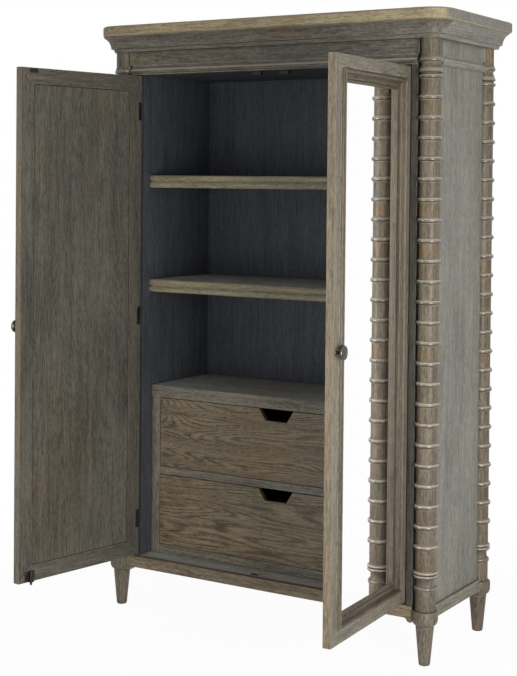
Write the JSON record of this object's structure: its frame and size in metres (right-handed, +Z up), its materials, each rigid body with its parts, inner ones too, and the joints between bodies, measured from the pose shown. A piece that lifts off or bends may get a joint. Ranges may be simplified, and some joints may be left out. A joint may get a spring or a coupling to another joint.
{
  "type": "wardrobe cabinet",
  "caption": "Tall free-standing wardrobe on turned feet with ring-turned corner posts, mirror doors on hinges, shelves and a drawer unit.",
  "frame": {"origin": "on the floor, midway between the sides, in the upright plane that touches the rings of the two front posts; at rest, with both doors standing open, this is close to the middle of the base of the whole box", "axes": "+X to the right seen from the front, +Y to the back, +Z up"},
  "size_m": [1.38, 1.0359, 2.1],
  "materials": {
    "case_oak": "weathered, matt",
    "turned_oak": "weathered, satin",
    "dark_oak": "dark stain, matt",
    "plain_wood": "dark stain, matt",
    "mirror_glass": "polished",
    "aged_bronze": "dark patina",
    "black_iron": "blackened, matt"
  },
  "bodies": {
    "carcass": {"back_planks": "dark_oak", "ceiling_board": "dark_oak", "ceiling_catches": "black_iron", "drawer_bottom_rail": "dark_oak", "drawer_middle_rail": "dark_oak", "drawer_runners": "dark_oak", "drawer_unit_stiles": "dark_oak", "drawer_unit_top": "dark_oak", "floor_board": "dark_oak", "floor_socket": "black_iron", "front_base_rail": "case_oak", "front_bead": "case_oak", "front_crown": "case_oak", "front_frieze": "case_oak", "front_left_post": "turned_oak", "front_right_post": "turned_oak", "front_stiles": "case_oak", "head_rail": "case_oak", "hinge_frame_leaves": "black_iron", "middle_shelf": "dark_oak", "rear_base_rail": "case_oak", "rear_left_post": "turned_oak", "rear_right_post": "turned_oak", "rear_stiles": "case_oak", "shelf_cleats": "dark_oak", "side_base_rails": "case_oak", "side_beads": "case_oak", "side_crowns": "case_oak", "side_linings": "dark_oak", "side_panels": "case_oak", "top_board": "case_oak", "turned_feet": "turned_oak", "upper_shelf": "dark_oak"},
    "left_door": {"left_door_hinge_leaves": "black_iron", "left_door_mirror": "mirror_glass", "left_door_moulding": "case_oak", "left_door_panel": "case_oak", "left_door_rails": "case_oak", "left_door_stiles": "case_oak", "left_knob": "aged_bronze", "left_strike": "black_iron", "left_bolt_case": "black_iron"},
    "right_door": {"right_door_hinge_leaves": "black_iron", "right_door_mirror": "mirror_glass", "right_door_moulding": "case_oak", "right_door_panel": "case_oak", "right_door_rails": "case_oak", "right_door_stiles": "case_oak", "right_knob": "aged_bronze", "right_strike": "black_iron"},
    "upper_drawer": {"upper_drawer_back": "plain_wood", "upper_drawer_bottom": "plain_wood", "upper_drawer_front": "dark_oak", "upper_drawer_sides": "plain_wood"},
    "lower_drawer": {"lower_drawer_back": "plain_wood", "lower_drawer_bottom": "plain_wood", "lower_drawer_front": "dark_oak", "lower_drawer_sides": "plain_wood"},
    "left_bolt": {"left_bolt": "black_iron"}
  },
  "joints": [
    {"name": "left_door_hinge", "type": "hinge", "parent": "carcass", "child": "left_door", "pos_m": [-0.545, 0.023, 1.06], "axis": [0, 0, -1], "range_deg": [-100.3, 14.7]},
    {"name": "right_door_hinge", "type": "hinge", "parent": "carcass", "child": "right_door", "pos_m": [0.545, 0.023, 1.06], "axis": [0, 0, 1], "range_deg": [-92.8, 22.2]},
    {"name": "upper_drawer_slide", "type": "slide", "parent": "carcass", "child": "upper_drawer", "axis": [0, -1, 0], "range_m": [0, 0.28]},
    {"name": "lower_drawer_slide", "type": "slide", "parent": "carcass", "child": "lower_drawer", "axis": [0, -1, 0], "range_m": [0, 0.28]},
    {"name": "left_bolt_slide", "type": "slide", "parent": "left_door", "child": "left_bolt", "axis": [0, 0, 1], "range_m": [-0.012, 0]}
  ]
}
